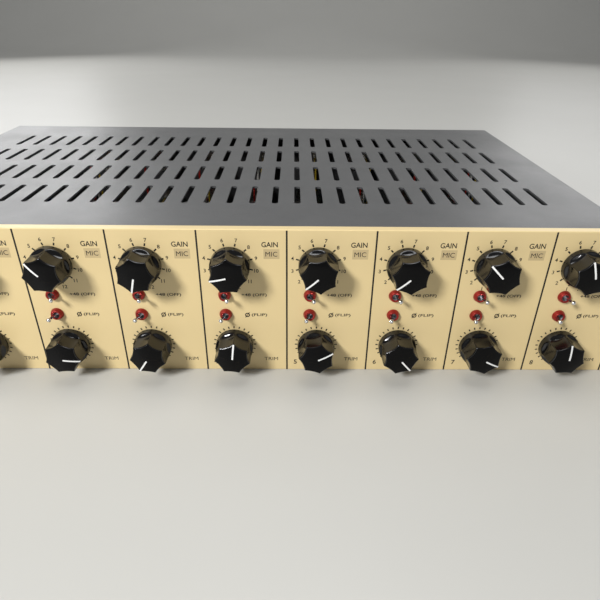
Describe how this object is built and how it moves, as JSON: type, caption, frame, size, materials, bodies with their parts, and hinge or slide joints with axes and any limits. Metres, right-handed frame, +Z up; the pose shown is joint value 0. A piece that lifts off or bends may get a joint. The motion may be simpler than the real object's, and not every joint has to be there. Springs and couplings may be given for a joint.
{
  "type": "microphone preamplifier",
  "caption": "Rack-mount microphone preamplifier: cream front panel with fluted gain and trim knobs, small toggles, slotted grey steel cover and round rear connectors.",
  "frame": {"origin": "middle of the bounding box, on the surface the unit stands on", "axes": "+X to the right along the front panel, +Y from the front panel to the rear, +Z up"},
  "size_m": [0.4826, 0.2682, 0.0881],
  "materials": {
    "cream_paint": "satin cream enamel",
    "grey_powder_coat": "fine-textured dark grey powder coat",
    "knob_phenolic": "polished black phenolic",
    "lever_chrome": "bright chrome",
    "red_anodised": "red anodised",
    "nickel": "satin nickel plate",
    "zinc_steel": "bright zinc plate",
    "black_screws": "black oxide",
    "switch_metal": "tinned frame",
    "switch_phenolic": "moulded brown phenolic",
    "circuit_board": "green solder mask",
    "screening_can": "drawn screening can",
    "transformer_iron": "varnished laminations",
    "potting_resin": "cast epoxy block",
    "capacitor_sleeve": "blue shrink sleeve",
    "wire_sleeve": "hook-up wire sleeve",
    "contact_silver": "silver plate",
    "black_plastic": "moulded black thermoplastic",
    "winding_tape": "yellow polyester tape",
    "black_anodised": "black anodised",
    "lamp_red": "clear red lens in a bright bezel"
  },
  "bodies": {
    "case": {"front_panel": "cream_paint", "panel_fixings": "zinc_steel", "chassis_base": "grey_powder_coat", "top_cover": "grey_powder_coat", "cover_screws": "black_screws", "toggle_switch_bodies": "switch_metal", "toggle_dress_nuts": "red_anodised", "rotary_switch_bodies": "switch_phenolic", "trim_pot_bodies": "switch_phenolic", "control_nuts": "nickel", "circuit_boards": "circuit_board", "board_fixings": "zinc_steel", "input_transformers": "screening_can", "output_transformers": "transformer_iron", "op_amp_modules": "potting_resin", "capacitors": "capacitor_sleeve", "signal_wires": "wire_sleeve", "input_connectors": "nickel", "input_inserts": "black_plastic", "output_connectors": "nickel", "connector_contacts": "contact_silver", "connector_screws": "black_screws", "mains_inlet": "black_plastic", "mains_transformer": "winding_tape", "transformer_fixing": "zinc_steel", "regulator_heatsink": "black_anodised", "pilot_lamp": "lamp_red"},
    "gain_knob_1": {"gain_knob_1": "knob_phenolic"},
    "trim_knob_1": {"trim_knob_1": "knob_phenolic"},
    "phantom_lever_1": {"phantom_lever_1": "lever_chrome"},
    "polarity_lever_1": {"polarity_lever_1": "lever_chrome"},
    "gain_knob_2": {"gain_knob_2": "knob_phenolic"},
    "trim_knob_2": {"trim_knob_2": "knob_phenolic"},
    "phantom_lever_2": {"phantom_lever_2": "lever_chrome"},
    "polarity_lever_2": {"polarity_lever_2": "lever_chrome"},
    "gain_knob_3": {"gain_knob_3": "knob_phenolic"},
    "trim_knob_3": {"trim_knob_3": "knob_phenolic"},
    "phantom_lever_3": {"phantom_lever_3": "lever_chrome"},
    "polarity_lever_3": {"polarity_lever_3": "lever_chrome"},
    "gain_knob_4": {"gain_knob_4": "knob_phenolic"},
    "trim_knob_4": {"trim_knob_4": "knob_phenolic"},
    "phantom_lever_4": {"phantom_lever_4": "lever_chrome"},
    "polarity_lever_4": {"polarity_lever_4": "lever_chrome"},
    "gain_knob_5": {"gain_knob_5": "knob_phenolic"},
    "trim_knob_5": {"trim_knob_5": "knob_phenolic"},
    "phantom_lever_5": {"phantom_lever_5": "lever_chrome"},
    "polarity_lever_5": {"polarity_lever_5": "lever_chrome"},
    "gain_knob_6": {"gain_knob_6": "knob_phenolic"},
    "trim_knob_6": {"trim_knob_6": "knob_phenolic"},
    "phantom_lever_6": {"phantom_lever_6": "lever_chrome"},
    "polarity_lever_6": {"polarity_lever_6": "lever_chrome"},
    "gain_knob_7": {"gain_knob_7": "knob_phenolic"},
    "trim_knob_7": {"trim_knob_7": "knob_phenolic"},
    "phantom_lever_7": {"phantom_lever_7": "lever_chrome"},
    "polarity_lever_7": {"polarity_lever_7": "lever_chrome"},
    "gain_knob_8": {"gain_knob_8": "knob_phenolic"},
    "trim_knob_8": {"trim_knob_8": "knob_phenolic"},
    "phantom_lever_8": {"phantom_lever_8": "lever_chrome"},
    "polarity_lever_8": {"polarity_lever_8": "lever_chrome"},
    "power_lever": {"power_lever": "lever_chrome"}
  },
  "joints": [
    {"name": "gain_knob_1_turn", "type": "hinge", "parent": "case", "child": "gain_knob_1", "pos_m": [-0.135, -0.11775, 0.0684], "axis": [0, 1, 0], "range_deg": [-90, 240]},
    {"name": "trim_knob_1_turn", "type": "hinge", "parent": "case", "child": "trim_knob_1", "pos_m": [-0.135, -0.11775, 0.018], "axis": [0, 1, 0], "range_deg": [-120, 180]},
    {"name": "phantom_lever_1_throw", "type": "hinge", "parent": "case", "child": "phantom_lever_1", "pos_m": [-0.139, -0.1164, 0.0502], "axis": [0, 0, 1], "range_deg": [-26, 0]},
    {"name": "polarity_lever_1_throw", "type": "hinge", "parent": "case", "child": "polarity_lever_1", "pos_m": [-0.139, -0.1164, 0.038], "axis": [0, 0, 1], "range_deg": [0, 26]},
    {"name": "gain_knob_2_turn", "type": "hinge", "parent": "case", "child": "gain_knob_2", "pos_m": [-0.0887, -0.11775, 0.0684], "axis": [0, 1, 0], "range_deg": [-120, 210]},
    {"name": "trim_knob_2_turn", "type": "hinge", "parent": "case", "child": "trim_knob_2", "pos_m": [-0.0887, -0.11775, 0.018], "axis": [0, 1, 0], "range_deg": [-250, 50]},
    {"name": "phantom_lever_2_throw", "type": "hinge", "parent": "case", "child": "phantom_lever_2", "pos_m": [-0.0927, -0.1164, 0.0502], "axis": [0, 0, 1], "range_deg": [-26, 0]},
    {"name": "polarity_lever_2_throw", "type": "hinge", "parent": "case", "child": "polarity_lever_2", "pos_m": [-0.0927, -0.1164, 0.038], "axis": [0, 0, 1], "range_deg": [0, 26]},
    {"name": "gain_knob_3_turn", "type": "hinge", "parent": "case", "child": "gain_knob_3", "pos_m": [-0.0424, -0.11775, 0.0684], "axis": [0, 1, 0], "range_deg": [0, 330]},
    {"name": "trim_knob_3_turn", "type": "hinge", "parent": "case", "child": "trim_knob_3", "pos_m": [-0.0424, -0.11775, 0.018], "axis": [0, 1, 0], "range_deg": [-3, 297]},
    {"name": "phantom_lever_3_throw", "type": "hinge", "parent": "case", "child": "phantom_lever_3", "pos_m": [-0.0464, -0.1164, 0.0502], "axis": [0, 0, 1], "range_deg": [-26, 0]},
    {"name": "polarity_lever_3_throw", "type": "hinge", "parent": "case", "child": "polarity_lever_3", "pos_m": [-0.0464, -0.1164, 0.038], "axis": [0, 0, 1], "range_deg": [0, 26]},
    {"name": "gain_knob_4_turn", "type": "hinge", "parent": "case", "child": "gain_knob_4", "pos_m": [0.0039, -0.11775, 0.0684], "axis": [0, 1, 0], "range_deg": [-60, 270]},
    {"name": "trim_knob_4_turn", "type": "hinge", "parent": "case", "child": "trim_knob_4", "pos_m": [0.0039, -0.11775, 0.018], "axis": [0, 1, 0], "range_deg": [-156, 144]},
    {"name": "phantom_lever_4_throw", "type": "hinge", "parent": "case", "child": "phantom_lever_4", "pos_m": [-0.0001, -0.1164, 0.0502], "axis": [0, 0, 1], "range_deg": [-26, 0]},
    {"name": "polarity_lever_4_throw", "type": "hinge", "parent": "case", "child": "polarity_lever_4", "pos_m": [-0.0001, -0.1164, 0.038], "axis": [0, 0, 1], "range_deg": [0, 26]},
    {"name": "gain_knob_5_turn", "type": "hinge", "parent": "case", "child": "gain_knob_5", "pos_m": [0.0502, -0.11775, 0.0684], "axis": [0, 1, 0], "range_deg": [-30, 300]},
    {"name": "trim_knob_5_turn", "type": "hinge", "parent": "case", "child": "trim_knob_5", "pos_m": [0.0502, -0.11775, 0.018], "axis": [0, 1, 0], "range_deg": [-216, 84]},
    {"name": "phantom_lever_5_throw", "type": "hinge", "parent": "case", "child": "phantom_lever_5", "pos_m": [0.0462, -0.1164, 0.0502], "axis": [0, 0, 1], "range_deg": [-26, 0]},
    {"name": "polarity_lever_5_throw", "type": "hinge", "parent": "case", "child": "polarity_lever_5", "pos_m": [0.0462, -0.1164, 0.038], "axis": [0, 0, 1], "range_deg": [0, 26]},
    {"name": "gain_knob_6_turn", "type": "hinge", "parent": "case", "child": "gain_knob_6", "pos_m": [0.0965, -0.11775, 0.0684], "axis": [0, 1, 0], "range_deg": [-30, 300]},
    {"name": "trim_knob_6_turn", "type": "hinge", "parent": "case", "child": "trim_knob_6", "pos_m": [0.0965, -0.11775, 0.018], "axis": [0, 1, 0], "range_deg": [-291, 9]},
    {"name": "phantom_lever_6_throw", "type": "hinge", "parent": "case", "child": "phantom_lever_6", "pos_m": [0.0925, -0.1164, 0.0502], "axis": [0, 0, 1], "range_deg": [-26, 0]},
    {"name": "polarity_lever_6_throw", "type": "hinge", "parent": "case", "child": "polarity_lever_6", "pos_m": [0.0925, -0.1164, 0.038], "axis": [0, 0, 1], "range_deg": [0, 26]},
    {"name": "gain_knob_7_turn", "type": "hinge", "parent": "case", "child": "gain_knob_7", "pos_m": [0.1428, -0.11775, 0.0684], "axis": [0, 1, 0], "range_deg": [-120, 210]},
    {"name": "trim_knob_7_turn", "type": "hinge", "parent": "case", "child": "trim_knob_7", "pos_m": [0.1428, -0.11775, 0.018], "axis": [0, 1, 0], "range_deg": [-269, 31]},
    {"name": "phantom_lever_7_throw", "type": "hinge", "parent": "case", "child": "phantom_lever_7", "pos_m": [0.1388, -0.1164, 0.0502], "axis": [0, 0, 1], "range_deg": [-26, 0]},
    {"name": "polarity_lever_7_throw", "type": "hinge", "parent": "case", "child": "polarity_lever_7", "pos_m": [0.1388, -0.1164, 0.038], "axis": [0, 0, 1], "range_deg": [0, 26]},
    {"name": "gain_knob_8_turn", "type": "hinge", "parent": "case", "child": "gain_knob_8", "pos_m": [0.1891, -0.11775, 0.0684], "axis": [0, 1, 0], "range_deg": [-150, 180]},
    {"name": "trim_knob_8_turn", "type": "hinge", "parent": "case", "child": "trim_knob_8", "pos_m": [0.1891, -0.11775, 0.018], "axis": [0, 1, 0], "range_deg": [-150, 150]},
    {"name": "phantom_lever_8_throw", "type": "hinge", "parent": "case", "child": "phantom_lever_8", "pos_m": [0.1851, -0.1164, 0.0502], "axis": [0, 0, 1], "range_deg": [-26, 0]},
    {"name": "polarity_lever_8_throw", "type": "hinge", "parent": "case", "child": "polarity_lever_8", "pos_m": [0.1851, -0.1164, 0.038], "axis": [0, 0, 1], "range_deg": [0, 26]},
    {"name": "power_lever_throw", "type": "hinge", "parent": "case", "child": "power_lever", "pos_m": [-0.1963, -0.11572, 0.038], "axis": [1, 0, 0], "range_deg": [0, 26]}
  ]
}
